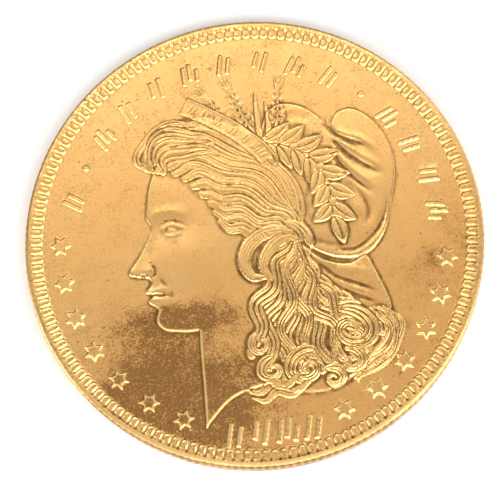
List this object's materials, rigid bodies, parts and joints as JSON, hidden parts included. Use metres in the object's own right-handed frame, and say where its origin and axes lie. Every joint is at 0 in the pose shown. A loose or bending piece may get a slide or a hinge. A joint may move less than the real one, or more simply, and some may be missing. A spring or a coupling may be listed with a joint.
{
  "type": "coin",
  "caption": "Large struck metal coin lying flat: portrait in low relief, stars and strokes around it, toothed rims, reeded edge and a plain wreath on the back.",
  "frame": {"origin": "centre of the disc at the level that the coin lies on, under its lower rim", "axes": "+Z out of the portrait side, +Y to the top of the portrait side's design"},
  "size_m": [0.0382, 0.0382, 0.0024],
  "materials": {
    "toned_metal": "worn satin, toned gold with darker speckled patches"
  },
  "bodies": {
    "root": {"coin": "toned_metal"}
  },
  "joints": []
}
